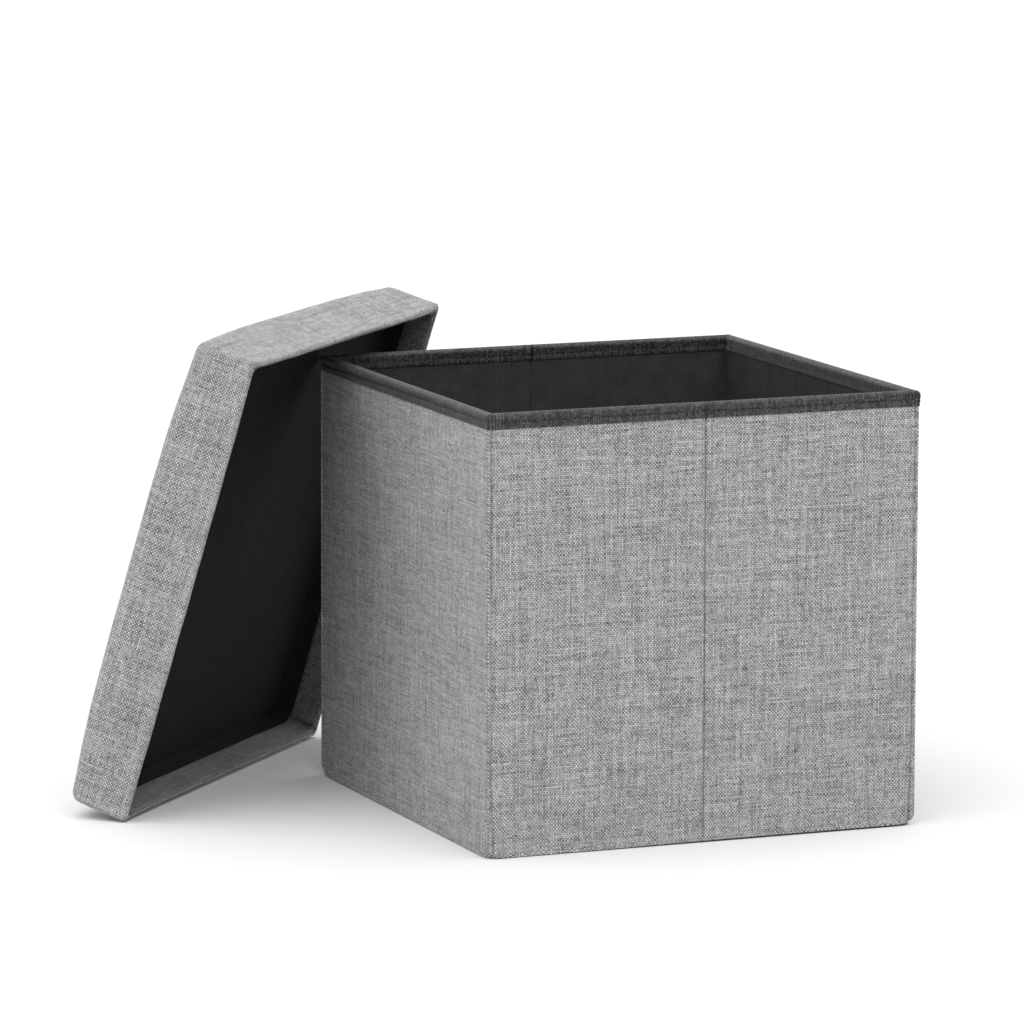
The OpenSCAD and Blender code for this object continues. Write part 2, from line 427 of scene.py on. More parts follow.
def pale_floor():
    s = Shade("pale_floor", Roughness=0.9, Specular_IOR_Level=0.0)
    faint = s.noise(s.object_place(), 3, 2)
    value = s.total(0.80, (faint, 0.004))
    s.colour(value, value, value)
    return s.material


GREY = woven_fabric()
TAPE = ribbed_tape()
BLACK_LINING = nonwoven("nonwoven_black", 0.052)
LID_BLACK = nonwoven("nonwoven_lid", 0.018)
BASE_BLACK = nonwoven("nonwoven_base", 0.052)
BOARD = fibreboard()
FOAM = open_foam()
THREAD = sewing_thread()


# ---- wall panels

# A wall is worked out as if it were the front one, then turned. A path is its plan from left to right:
# x, y, the way out (mitred at a corner), the share of surface ripple, and the distance from a corner.


def stations(x, y, out_x, out_y, ripple_share=0.0, corner=FAR):
    columns = np.broadcast_arrays(x, y, out_x, out_y, ripple_share, corner)
    return np.stack(columns, -1).astype(float)


def corner_run(line, taper):
    """From a mitred corner along the wall."""
    d = CORNER_STEPS
    return stations(d - line, -line, -np.clip(1 - d / taper, 0, 1), -1.0, smooth(d, 4, 30), d)


MIDDLE_STEP = 6.0


def middle_run(line, x_from, x_to):
    """The plain part of a wall. The ripple fades out before a far corner, but not before a crease."""
    count = max(2, int(abs(x_to - x_from) / MIDDLE_STEP))
    x = np.linspace(x_from, x_to, count + 1)[1:-1]
    return stations(x, -line, 0.0, -1.0, smooth(np.abs(x - x_to), 0, 25) if x_to > 0 else 1.0)


def crease_run(line, curl, depth):
    """The end of a half wall curls in at the crease and runs in over the board's end."""
    gap = 0.3
    lead = stations(
        [CREASE_LEAD, -9, -6, -4.2, -3, -2.4], -line, 0.0, -1.0, [0.5, 0.2, 0.1, 0, 0, 0]
    )
    turn = np.radians([0, 15, 30, 45, 60, 75, 90])
    c, s = np.cos(turn), np.sin(turn)
    arc = stations(-gap - curl + curl * s, -line + curl - curl * c, s, -c)
    if depth <= curl:
        return np.concatenate([lead, arc])
    down = np.linspace(curl, depth, 4)[1:]
    return np.concatenate([lead, arc, stations(-gap, -line + down, 1.0, 0.0)])


def mirrored(path):
    return path[::-1] * [-1, 1, -1, 1, 1, 1]


def round_the_corner(line, taper, knuckle):
    """From the right wall's far corner to the pivot, then a quarter turn that fills that corner."""
    d = CORNER_STEPS[(CORNER_STEPS > 0) & (CORNER_STEPS < line - PIVOT - 1)]
    d = np.append(d, line - PIVOT - 0.2)
    run = stations(line, d - line, 1.0, -np.clip(1 - d / taper, 0, 1), 0.0, d)
    if knuckle <= 0:
        return run
    turn = np.radians(np.linspace(0, 80, 12))
    c, s = np.cos(turn), np.sin(turn)
    arc = stations(LINING_AT + knuckle * c, -PIVOT + knuckle * s, c, s)
    return np.concatenate([run, arc])


def path_length(path):
    step = np.hypot(np.diff(path[:, 0]), np.diff(path[:, 1]))
    return np.concatenate([[0], np.cumsum(step)])


def sweep(
    path, profile, thickness, turn, mirror=False, relief=None, seed=0,
    half=HALF, radius=None, start=0.0, creased=False,
):
    """A closed sheet: profile rows (out, z, normal out, normal z) swept along path.
    Returns points, faces and weave."""
    if mirror:
        path = mirrored(path)
    along = path_length(path) + start
    if mirror:
        along = along - along[-1] + start + 2 * HALF
    out, z, n_out, n_z = profile.T[:, :, None]
    x, y, ox, oy, share, corner = path.T[:, None, :]
    lift = 0.0
    if relief is not None:
        crease = np.abs(x) if creased else FAR
        lift = relief(seed, along[None, :], z, share, corner, crease)
    surfaces = []
    for depth in (0.0, thickness):
        w = out + lift - depth * n_out
        px, py = x + w * ox, y + w * oy
        pz = np.broadcast_to(z - depth * n_z, px.shape)
        if radius is not None:
            corner_radius = radius(pz) if callable(radius) else radius
            px, py = np.moveaxis(rounded(px, py, half, corner_radius), -1, 0)
        if creased:
            # The line of the crease isn't quite straight.
            px = px + 0.3 * np.exp(-np.abs(px) / 7) * ripple(pz, 0.0, CREASE_SEED, (40, 120), 4)
        surfaces.append(rotate(np.stack([px, py, pz], -1), turn))
    points, faces = slab(*surfaces)
    rise = path_length(profile) + profile[0, 1]
    flat = np.stack(np.meshgrid(along, rise), -1).reshape(-1, 2)
    return points, faces, np.concatenate([flat, flat])


def upright(z_rows):
    """The profile of a plain vertical sheet."""
    return np.stack(np.broadcast_arrays(0.0, z_rows, 1.0, 0.0), -1)


COVER_ROWS = np.concatenate([
    [FOOT_BAND_Z, 4.4, 5, 5.8, 6.8, 8, 9.4, 11, 13, 16, 20, 26],
    np.linspace(33, RIM_Z - 20, 40),
    RIM_Z - np.array([16.0, 13, 10.5, 8.8]),
])
LINING_ROWS = np.concatenate([[4.1], np.linspace(8, BINDING_Z, 34), [RIM_Z - 7]])
CREASE_ROWS = np.concatenate([[4.2], np.linspace(12, BINDING_Z - 1, 24)])


def binding_profile():
    """U over the rim: outer leg up, rounded top, inner leg down."""
    outer = [
        (3.7, -12), (3.85, -11.2), (3.6, -10.2), (3.9, -9.2), (3.7, -8.2),
        (2.7, -7.2), (2.9, -6.3), (3.95, -5.3), (4.35, -4.4),
    ]
    turn = np.radians([18, 36, 54, 72, 90, 108, 126, 144, 162])
    top = [(4.3 * math.cos(a), -3.6 + 3.6 * math.sin(a)) for a in turn]
    inner = [
        (-4.0, -3.8), (-3.9, -5.6), (-3.8, -7.5), (-3.6, -8.5),
        (-3.85, -9.5), (-3.85, -10.8), (-3.7, -12),
    ]
    points = np.array(outer + top + inner) + [0, RIM_Z]
    slope = np.gradient(points, axis=0)
    normal = np.stack([slope[:, 1], -slope[:, 0]], -1)
    normal /= np.linalg.norm(normal, axis=1)[:, None]
    return np.concatenate([points, normal], axis=1)


WELT_RISE = 0.8
WELT_GROOVE = 0.75    # a deeper groove would let the boards show through
SEAM_SHADE = 0.36


def seam_at(z):
    """How far the pinched line beside a corner lies from it."""
    return 2.7 + 2.0 * smooth(-z, -60, -8)


def seam_shade(points):
    """Painted shade in the pinched lines beside the box's corners, deeper towards the floor."""
    x, y, z = np.abs(points).T
    corner = HALF - np.minimum(x, y)
    line = bell(corner - seam_at(z), 0.85) + 0.5 * smooth(-z, -45, -8) * bell(corner, 0.8)
    patchy = 0.75 + 0.5 * ripple(z, 0.0, SHADE_SEED, (12, 60), 5)
    return np.clip((SEAM_SHADE + 0.2 * smooth(-z, -70, -10)) * line * patchy, 0, 0.75)


def cover_relief(seed, along, z, share, corner, crease):
    low = smooth(-z, -60, -8)
    at = seam_at(z)
    pinch = bell(corner - at, 0.75 + 0.4 * low)
    beside = bell(corner - at - 2.4, 1.2) + 0.5 * bell(corner - at + 2.0, 1.1)
    welt = WELT_RISE * bell(corner, 1.1) - WELT_GROOVE * pinch + 0.9 * low * beside
    edge = smooth(z, FOOT_BAND_Z, 22) * smooth(-z, -BINDING_Z, -BINDING_Z + 22)
    ridge = 0.35 * bell(crease - 3.6, 1.3) * smooth(-z, -BINDING_Z, -BINDING_Z + 8)
    return ridge + welt * smooth(z, -3, 6) + 0.28 * share * edge * ripple(along, z, seed)


def binding_relief(seed, along, z, share, corner, crease):
    filled = 1.3 * bell(corner, 7) * bell(z - RIM_Z + 6.9, 1.3)
    lump = filled + 0.4 * bell(corner, 2.5) + 0.9 * bell(crease - 3.2, 1.4)
    return lump - 0.9 * bell(crease, 1.6) + 0.12 * ripple(along, 0 * z, seed, (14, 60))


def lining_relief(seed, along, z, share, corner, crease):
    return -0.18 * share * np.abs(ripple(along, z, seed, (40, 130)))


binding_shape = binding_profile()

STITCH_PITCH, STITCH_LENGTH, STITCH_WIDTH, STITCH_HEIGHT = 3.4, 2.5, 0.55, 0.42


def stitch_row(path_x, out_y, z):
    """A row of rounded stitches along a wall, each a small closed grain."""
    count = int((path_x[1] - path_x[0]) / STITCH_PITCH)
    ring = np.radians(np.arange(0, 360, 60))
    share = np.array([-1, -0.8, -0.35, 0.35, 0.8, 1])
    girth = np.array([0.15, 0.7, 1, 1, 0.7, 0.15])
    grain = np.stack([
        np.repeat(share * STITCH_LENGTH / 2, 6),
        np.outer(girth, np.cos(ring)).ravel() * STITCH_HEIGHT / 2,
        np.outer(girth, np.sin(ring)).ravel() * STITCH_WIDTH / 2,
    ], -1)
    low = [[a, (a + 1) % 6, (a + 1) % 6 + 6, a + 6] for a in range(6)]
    faces = [[v + 6 * row for v in face] for row in range(5) for face in low]
    faces += [[5, 4, 3, 2, 1, 0], [30, 31, 32, 33, 34, 35]]
    start = path_x[0] + STITCH_PITCH / 2
    return join_parts([(grain + [start + k * STITCH_PITCH, out_y, z], faces) for k in range(count)])


def join_parts(parts):
    """Puts several (points, faces) together."""
    joined, base = [], 0
    for points, faces in parts:
        joined += [[int(v) + base for v in face] for face in faces]
        base += len(points)
    return np.concatenate([points for points, _ in parts]), joined


def flip_x(points, faces):
    return points * [-1, 1, 1], [list(face)[::-1] for face in faces]


def tape_end(turn, mirror):
    """Closes the end of the binding at a crease. Returns points, faces and weave."""
    count = len(binding_shape)
    out, z = binding_shape[:, 0], binding_shape[:, 1]
    outline = np.stack([0 * out, -BINDING_LINE - 0.96 * out, z - 0.1], -1)
    points = np.concatenate([outline + [-0.35, 0, 0], outline + [-0.95, 0, 0]])
    faces = [list(range(count))[::-1], list(range(count, 2 * count))]
    faces += [[k, (k + 1) % count, (k + 1) % count + count, k + count] for k in range(count)]
    if mirror:
        points, faces = flip_x(points, faces)
    return rotate(points, turn), faces, points[:, 1:]


WALLS = {
    # name: kind, turn, mirrored, start of its cloth along the weave
    "front_left": ("half", 0, False, 0.0),
    "front_right": ("half", 0, True, 0.0),
    "right": ("right", 90, False, 400.0),
    "back_right": ("pivot", 180, False, 800.0),
    "back_left": ("half", 180, True, 800.0),
    "left": ("full", -90, False, 1200.0),
}
WALL_BODY = {"left": "left_wall", "right": "right_wall"}

# Pieces that cross a corner pivot: the two bodies, and on which side in x and y the corner is.
BENDS = {
    "front_left": ("left_wall", "front_left", -1, -1),
    "front_right": ("front_right", "right_wall", 1, -1),
    "back_left": ("left_wall", "back_left", -1, 1),
}


def attach(piece, wall):
    """Lets a piece of a wall follow its body. A piece that crosses a corner pivot is only baked in place
    and follows no body.
    """
    if wall not in BENDS:
        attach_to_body(piece, WALL_BODY.get(wall, wall))
        return
    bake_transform(piece)


def swept_piece(name, material, swept):
    points, faces, weave = swept
    return make_piece(name, points, faces, material, weave)


def wall_path(kind, line, taper, curl, depth, knuckle):
    """The plan of a wall of one of the four kinds."""
    start = corner_run(line, taper)
    crease = crease_run(line, curl, depth)
    if kind == "half":
        return np.concatenate([start, middle_run(line, start[-1, 0], CREASE_LEAD), crease])
    if kind == "pivot":
        # It starts at its pivot, because the loop of walls is opened there.
        begin = stations([-PIVOT, 5 - PIVOT], -line, 0.0, -1.0)
        return np.concatenate([begin, middle_run(line, begin[-1, 0], CREASE_LEAD), crease])
    parts = [start, middle_run(line, start[-1, 0], -start[-1, 0]), mirrored(start)]
    if kind == "right":
        parts.append(round_the_corner(line, taper, knuckle))
    return np.concatenate(parts)


for number, (wall, (kind, turn, mirror, start)) in enumerate(WALLS.items()):
    creased = kind in ("half", "pivot")
    cover = swept_piece(f"{wall}_fabric", GREY, sweep(
        wall_path(kind, HALF, 3 * CLOTH, CREASE_CURL, CREASE_DEPTH, KNUCKLE),
        upright(COVER_ROWS), CLOTH, turn, mirror, cover_relief, COVER_SEED + number,
        radius=plan_radius, start=start, creased=creased,
    ))
    # Painted shade in the grooves beside the corners.
    mark_painted_shade(cover, seam_shade(np.array([v.co for v in cover.data.vertices]) / MM))
    lining = swept_piece(f"{wall}_inner_lining", BLACK_LINING, sweep(
        wall_path(kind, LINING_AT + LINING, 3 * LINING, 0.3, 0.3, 0.0),
        upright(LINING_ROWS), LINING, turn, mirror, lining_relief, LINING_SEED + number, start=start,
    ))
    strips = [sweep(
        wall_path(kind, BINDING_LINE, 12.0, 0.5, 0.5, 0.0),
        binding_shape, CLOTH, turn, mirror, binding_relief, TAPE_SEED + number,
        half=HALF + 1, radius=2.0, start=start, creased=creased,
    )]
    if creased:
        strips.append(tape_end(turn, mirror))
    tape_parts = join_parts([strip[:2] for strip in strips])
    tape_weave = np.concatenate([strip[2] for strip in strips])
    tape = swept_piece(f"{wall}_tape", TAPE, (*tape_parts, tape_weave))
    row_from = -PIVOT if kind == "pivot" else -BINDING_LINE
    row_to = -1.5 if creased else BINDING_LINE
    sewn = join_parts([
        stitch_row((row_from + 1, row_to), -BINDING_LINE - 3.7, RIM_Z - 10.2),
        stitch_row((row_from + 6, row_to - (0 if creased else 6)), -BINDING_LINE + 3.75, RIM_Z - 8.5),
    ])
    if mirror:
        sewn = flip_x(*sewn)
    stitches = make_piece(
        f"{wall}_stitches", rotate(sewn[0], turn), sewn[1], THREAD, weave=sewn[0][:, [0, 2]] + 400
    )
    for piece in (cover, lining, tape, stitches):
        attach(piece, wall)
    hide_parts(f"{wall}_cover")
    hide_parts(f"{wall}_lining")
    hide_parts(f"{wall}_binding")
    if wall in BENDS:
        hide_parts(f"{wall}_corner_web")
    if wall == "right":
        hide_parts("back_right_corner_web")


def crease_strip(name, turn, node):
    """The fabric behind the groove of a crease, baked in place."""
    path = stations(np.linspace(-CREASE_HALF, CREASE_HALF, 17), CREASE_CURL - HALF, 0.0, -1.0)
    strip = sweep(path, upright(CREASE_ROWS), 0.8, turn, start=300, creased=True)
    piece = swept_piece(name, GREY, strip)
    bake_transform(piece)
    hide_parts(node)


crease_strip("front_crease_fold_cloth", 0, "front_crease_web")
crease_strip("back_crease_fold_cloth", 180, "back_crease_web")


# ---- bottom

EDGE_STEPS = 16       # along each straight edge of a rounded rectangle


def ring_points(half_x, half_y, radius, z, count=10, centre=(0.0, 0.0)):
    """A rounded rectangle of points, anticlockwise from above."""
    radius = max(radius, 0.05)
    arcs = []
    for quarter, (side_x, side_y) in enumerate([(1, -1), (1, 1), (-1, 1), (-1, -1)]):
        turn = np.radians(90 * (quarter - 1) + 90 * np.arange(count + 1) / count)
        arcs.append(np.stack([
            centre[0] + side_x * (half_x - radius) + radius * np.cos(turn),
            centre[1] + side_y * (half_y - radius) + radius * np.sin(turn),
            np.full(count + 1, float(z)),
        ], -1))
    share = np.arange(1, EDGE_STEPS)[:, None] / EDGE_STEPS
    parts = []
    for arc, following in zip(arcs, arcs[1:] + arcs[:1]):
        parts += [arc, arc[-1] + (following[0] - arc[-1]) * share]
    return np.concatenate(parts)


def loft(rings, closed=False):
    """Closed skin over rings of points. Its ends are filled, or the last ring meets the first."""
    count = len(rings[0])
    points = np.concatenate(rings)
    index = np.arange(len(rings) * count).reshape(len(rings), count)
    low = index if closed else index[:-1]
    high = np.roll(index, -1, axis=0) if closed else index[1:]
    faces = np.stack([low, np.roll(low, -1, 1), np.roll(high, -1, 1), high], -1).reshape(-1, 4).tolist()
    if not closed:
        first, last = rings[0].mean(0), rings[-1].mean(0)
        for ring, middle, step in ((index[0], first, -1), (index[-1], last, 1)):
            hub = len(points)
            points = np.concatenate([points, [middle]])
            faces += [[a, b, hub][::step] for a, b in zip(ring, np.roll(ring, -1))]
    return points, faces


def flat_weave(points, shift=(0, 0)):
    return points[:, :2] + np.array(shift) + 2000


SHEET_HALF = HALF - 0.1


def sheet_ring(inset, radius, z):
    return ring_points(SHEET_HALF - inset, SHEET_HALF - inset, radius, z)


sheet = loft([
    *(sheet_ring(SHEET_HALF * (1 - s), 17 * s, 0.25 + 0.2 * (1 - s)) for s in (0.3, 0.6, 0.9)),
    sheet_ring(1.2, 16, 0.05),
    sheet_ring(0.3, 16, 0.15),
    sheet_ring(0, 15, 0.5),
    sheet_ring(0, plan_radius(SHEET_EDGE_Z), SHEET_EDGE_Z),
    sheet_ring(0.6, plan_radius(SHEET_EDGE_Z), SHEET_EDGE_Z),
    sheet_ring(0.8, 14.5, 0.66),
    *(sheet_ring(SHEET_HALF * (1 - s), 15 * s, 0.62 + 0.1 * (1 - s)) for s in (0.9, 0.6, 0.3)),
])
bottom = make_piece("bottom_cloth", *sheet, BLACK_LINING, weave=flat_weave(sheet[0]))

band_rows = [SHEET_EDGE_Z, 1.5, 2.0, 2.6, 3.2, FOOT_BAND_Z]
band = loft([
    ring_points(HALF - inset, HALF - inset, plan_radius(z) - inset, z, 14)
    for inset, rows in ((0, band_rows), (CLOTH, band_rows[::-1]))
    for z in rows
], closed=True)
# The band comes lower towards the left, where it hides the black edge of the bottom.
reach = (band[0][:, 2] - SHEET_EDGE_Z) / (FOOT_BAND_Z - SHEET_EDGE_Z)
band[0][:, 2] -= (1 - reach) * 0.8 * smooth(-band[0][:, 0], -60, 170)
around = np.arctan2(band[0][:, 1], band[0][:, 0]) * HALF
foot = make_piece("foot_fabric_band", *band, GREY, weave=np.stack([around + 3000, band[0][:, 2]], -1))

for piece, node, slot_name in (
    (bottom, "bottom_sheet", "nonwoven_black"),
    (foot, "foot_band", "fabric_grey"),
):
    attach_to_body(piece, "left_wall")
    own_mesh(piece)
    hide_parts(node)


# ---- base board with its wrap and ribbon

base_low, base_high = (np.array(v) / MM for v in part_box("base_wrap"))
base_mid = (base_low + base_high) / 2
base_half = (base_high - base_low) / 2


def base_ring(inset, radius, z):
    return ring_points(base_half[0] - inset, base_half[1] - inset, radius, z, 8, base_mid[:2])


wrap = loft([base_ring(*row) for row in (
    (base_half[0] * 0.7, 1.5, base_low[2]),
    (base_half[0] * 0.3, 3.5, base_low[2]),
    (0.5, 0.8, base_low[2] + 0.02),
    (0.1, 1.1, base_low[2] + 0.3),
    (0, 1.2, base_mid[2]),
    (0.1, 1.1, base_high[2] - 0.3),
    (0.5, 0.8, base_high[2] - 0.05),
    (4, 3, base_high[2]),
    (base_half[0] * 0.3, 4, base_high[2] + 0.15),
    (base_half[0] * 0.7, 2, base_high[2] + 0.2),
)])
base_cloth = make_piece("base_cloth_wrap", *wrap, BASE_BLACK, weave=flat_weave(wrap[0], (500, 0)))
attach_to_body(base_cloth, "base")
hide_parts("base_wrap")

ribbon_low, ribbon_high = (np.array(v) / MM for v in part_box("base_ribbon"))
ribbon_z = ribbon_low[2] + 0.3
RIBBON_HALF = 0.22    # half its thickness
RUN_STEPS = 20        # of each layer
RIBBON_ROWS = 9       # across its width
loop_at = ribbon_high[0] - 1.3
loop_turn = np.radians([*range(15, 166, 15)])
loop_x = np.concatenate([
    np.linspace(ribbon_low[0], loop_at, RUN_STEPS),
    loop_at + np.sin(loop_turn),
    np.linspace(loop_at, ribbon_low[0] + 1.5, RUN_STEPS),
])
loop_z = ribbon_z + np.concatenate([
    np.zeros(RUN_STEPS),
    0.6 - 0.6 * np.cos(loop_turn),
    0.55 + 0.65 * smooth(np.linspace(1, 0, RUN_STEPS), 0.25, 1.0),
])
loop = np.stack([loop_x, loop_z], -1)
slope = np.gradient(loop, axis=0)
slope /= np.linalg.norm(slope, axis=1)[:, None]
across = np.linspace(-ribbon_high[1], ribbon_high[1], RIBBON_ROWS)
ribbon_points, ribbon_quads = slab(*(
    np.stack(np.broadcast_arrays(
        (loop_x + slope[:, 1] * depth)[:, None], across[None, :], (loop_z - slope[:, 0] * depth)[:, None]
    ), -1)
    for depth in (RIBBON_HALF, -RIBBON_HALF)
))
ribbon_along = np.tile(np.repeat(path_length(loop), RIBBON_ROWS), 2)
ribbon = make_piece(
    "base_pull_ribbon", ribbon_points, [q[::-1] for q in ribbon_quads], TAPE,
    weave=np.stack([ribbon_points[:, 1] + 100, ribbon_along], -1),
)
# The ribbon is sewn down by a square of stitches.
SEWN_HALF = 8.0
sewn_x = (ribbon_low[0] + 2, ribbon_low[0] + 15.6)
sewn_z = ribbon_z + 0.85
box_rows = [stitch_row(sewn_x, y, sewn_z) for y in (-SEWN_HALF, SEWN_HALF)]
for x in sewn_x:
    cross, cross_faces = stitch_row((-SEWN_HALF, SEWN_HALF), 0, sewn_z)
    box_rows.append((np.stack([x - cross[:, 1], cross[:, 0], cross[:, 2]], -1), cross_faces))
box_points, box_faces = join_parts(box_rows)
ribbon_stitches = make_piece(
    "base_ribbon_stitches", box_points, box_faces, THREAD, weave=box_points[:, :2] + 400
)
for piece in (ribbon, ribbon_stitches):
    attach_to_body(piece, "base")
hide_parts("base_ribbon")


# ---- lid


def lid_axes():
    """The lid's own frame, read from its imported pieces: z runs from the open edge to the padding."""
    board, foam = ((low + high) / 2 for low, high in map(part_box, ("lid_top_board", "lid_foam")))
    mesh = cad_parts["lid_top_board"].data
    up = max(mesh.polygons, key=lambda face: face.area).normal.copy()
    if up.dot(foam - board) < 0:
        up.negate()
    side = Vector((0, 0, 1)).cross(up).normalized()
    deep = up.cross(side)
    lowest = min(
        up.dot(v.co)
        for name in ("lid_front_cover", "lid_back_cover")
        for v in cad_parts[name].data.vertices
    )
    origin = board + up * (lowest - up.dot(board))
    turn = Matrix((side, deep, up)).transposed().to_4x4()
    return Matrix.Translation(origin) @ turn


LID = lid_axes()

# Places along a side of the lid, closer near its corners; LID_T runs from -1 to 1.
LID_NEAR = np.array([0, 0.7, 1.4, 2.2, 3.2, 4.5, 6.2, 8.5, 12, 16.5, 22, 29])
LID_STEPS = np.concatenate([LID_NEAR, np.linspace(37, 343, 40), 2 * LID_HALF - LID_NEAR[::-1]])
LID_T = LID_STEPS / LID_HALF - 1
LID_N = len(LID_T) - 1
# The lid's sides in plan: the way along, then the way out.
SIDES = [(1, 0, 0, -1), (0, 1, 1, 0), (-1, 0, 0, 1), (0, -1, -1, 0)]


def grid_quads(index):
    corners = (index[:-1, :-1], index[1:, :-1], index[1:, 1:], index[:-1, 1:])
    return np.stack(corners, -1).reshape(-1, 4)


def side_line(side, t, half, reach):
    """Plan points along one side of the lid."""
    along_x, along_y, out_x, out_y = side
    return np.stack([along_x * t * half + out_x * reach, along_y * t * half + out_y * reach], -1)


def tray(rings, top_half, top_z, top_radius, flip=False, shift=6000.0):
    """A square tray: rings (half, z, corner radius, out) from the free edge on, then a square grid
    that closes it. Returns points, faces, weave, and each point's ring and way from a corner."""
    n, t = LID_N, LID_T
    points, ring_no, corner = [], [], []
    for number, (half, z, radius, *out) in enumerate(rings):
        reach = half + (out[0] if out else 0.0)
        for side in SIDES:
            plan = rounded(*side_line(side, t[:-1], half, reach).T, half, radius)
            points.append(np.column_stack([plan, np.broadcast_to(z, n)]))
            ring_no.append(np.full(n, number))
            corner.append((1 - np.abs(t[:-1])) * half)
    base = len(rings) * 4 * n
    gx, gy = np.meshgrid(t * top_half, t * top_half, indexing="ij")
    q = np.maximum(np.abs(gx), np.abs(gy))
    q_radius = np.maximum(0, top_radius - (top_half - q))
    flat = rounded(gx, gy, q, q_radius).reshape(-1, 2)
    points.append(np.column_stack([flat, top_z(*flat.T)]))
    ring_no.append(np.full((n + 1) ** 2, len(rings)))
    corner.append(np.full((n + 1) ** 2, FAR))
    grid = base + np.arange((n + 1) ** 2).reshape(n + 1, n + 1)
    border = np.concatenate([grid[:-1, 0], grid[-1, :-1], grid[:0:-1, -1], grid[0, :0:-1]])
    ladder = [np.arange(4 * n) + k * 4 * n for k in range(len(rings))] + [border]
    faces, weave = [], []
    # The cloth's flat place is measured out from the top's border.
    halves = np.array([ring[0] for ring in rings] + [top_half])
    border_z = top_z(np.array([0.0]), np.array([top_half]))[0]
    heights = np.array([np.mean(ring[1]) for ring in rings] + [border_z])
    away = path_length(np.stack([halves, heights], -1))
    away = away[-1] - away
    for k in range(len(rings)):
        low, high = ladder[k], ladder[k + 1]
        faces.append(np.stack([low, np.roll(low, -1), np.roll(high, -1), high], -1))
        for side in SIDES:
            a, b = (side_line(side, t, halves[m], top_half + away[m]) for m in (k, k + 1))
            weave.append(np.stack([a[:-1], a[1:], b[1:], b[:-1]], 1))
    quads = grid_quads(grid)
    faces.append(quads)
    weave.append(np.stack([gx.ravel(), gy.ravel()], -1)[quads - base])
    faces, weave = np.concatenate(faces), np.concatenate(weave)
    if flip:
        faces, weave = faces[:, ::-1], weave[:, ::-1]
    weave = weave.reshape(-1, 2) + shift
    return np.concatenate(points), faces, weave, np.concatenate(ring_no), np.concatenate(corner)


def lid_bow(points):
    """Between their corners the lid's sides stand a little further in than at the corners."""
    x, y, z = points[:, 0].copy(), points[:, 1].copy(), points[:, 2]
    fade = 1 - smooth(z, 12, 40)
    for own, other, axis in ((x, y, 0), (y, x, 1)):
        depth = 2.4 * (1 - np.exp(-np.clip(LID_HALF - np.abs(other), 0, None) / 22))
        points[:, axis] -= np.sign(own) * depth * fade * (np.abs(own) / LID_HALF) ** 8
    return points


def lid_piece(name, points, faces, material, thickness=0.0, painted_shade=None, **weave):
    """A lid piece from its own frame, given thickness if asked, that rides with the lid."""
    piece = make_piece(name, lid_bow(points), faces, material, **weave)
    if painted_shade is not None:
        mark_painted_shade(piece, painted_shade)
    if thickness:
        thicken = piece.modifiers.new("thickness", "SOLIDIFY")
        thicken.thickness = thickness * MM
        thicken.offset = -1
        thicken.use_rim = True
        graph = bpy.context.evaluated_depsgraph_get()
        solid = bpy.data.meshes.new_from_object(piece.evaluated_get(graph))
        piece.modifiers.clear()
        piece.data = solid
        solid.name = name
    piece.data.transform(LID)
    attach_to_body(piece, "lid")
    return piece


def push(points, faces, amount):
    """Moves each point out by its amount in mm along the surface."""
    mesh = bpy.data.meshes.new("push")
    mesh.from_pydata(points.tolist(), [], faces.tolist())
    normals = np.array([v.normal for v in mesh.vertices])
    bpy.data.meshes.remove(mesh)
    return points + normals * amount[:, None]


CROWN_GRID = 41
CLOTH_FRAMES = 20


def crown_field():
    """How far the padded top stands up, on an even grid: a cloth held at its border and blown up."""
    place = np.linspace(-1, 1, CROWN_GRID)
    gx, gy = np.meshgrid(place, place, indexing="ij")
    shape = LID_CROWN * (1 - np.abs(gx) ** 3.2) * (1 - np.abs(gy) ** 3.2)
    points = np.stack([gx * LID_TOP_HALF, gy * LID_TOP_HALF, shape * 0.35], -1).reshape(-1, 3)
    index = np.arange(CROWN_GRID ** 2).reshape(CROWN_GRID, CROWN_GRID)
    pad = make_piece("pad_trial", points, grid_quads(index), GREY)
    border = np.concatenate([index[0], index[-1], index[:, 0], index[:, -1]])
    pins = pad.vertex_groups.new(name="pins")
    pins.add([int(v) for v in border], 1.0, "REPLACE")
    cloth = pad.modifiers.new("cloth", "CLOTH")
    settings = cloth.settings
    settings.vertex_group_mass = "pins"
    settings.quality = 8
    settings.use_pressure = True
    settings.uniform_pressure_force = 4
    settings.effector_weights.gravity = 0
    cloth.point_cache.frame_start = 1
    cloth.point_cache.frame_end = CLOTH_FRAMES
    for step in range(1, CLOTH_FRAMES + 1):
        scene.frame_set(step)
    graph = bpy.context.evaluated_depsgraph_get()
    settled = pad.evaluated_get(graph).to_mesh()
    z = np.array([v.co.z for v in settled.vertices]).reshape(gx.shape) / MM
    scene.frame_set(1)
    bpy.data.objects.remove(pad)
    return z * min(1.0, LID_CROWN / max(float(z.max()), 1e-3))


crown = crown_field()


def crown_at(x, y):
    """The padded top's height over the lid's edge at any place, from the even grid."""
    count = CROWN_GRID - 1
    u, v = (np.clip((at / LID_TOP_HALF + 1) / 2 * count, 0, count - 1e-6) for at in (x, y))
    i, j = u.astype(int), v.astype(int)
    fu, fv = u - i, v - j
    return (
        crown[i, j] * (1 - fu) * (1 - fv) + crown[i + 1, j] * fu * (1 - fv)
        + crown[i, j + 1] * (1 - fu) * fv + crown[i + 1, j + 1] * fu * fv
    )


def puff(distance):
    """The padding is pulled down at the lid's corners and swells between them."""
    return 1 - np.exp(-((np.clip(distance, 0, None) / 50) ** 1.6))


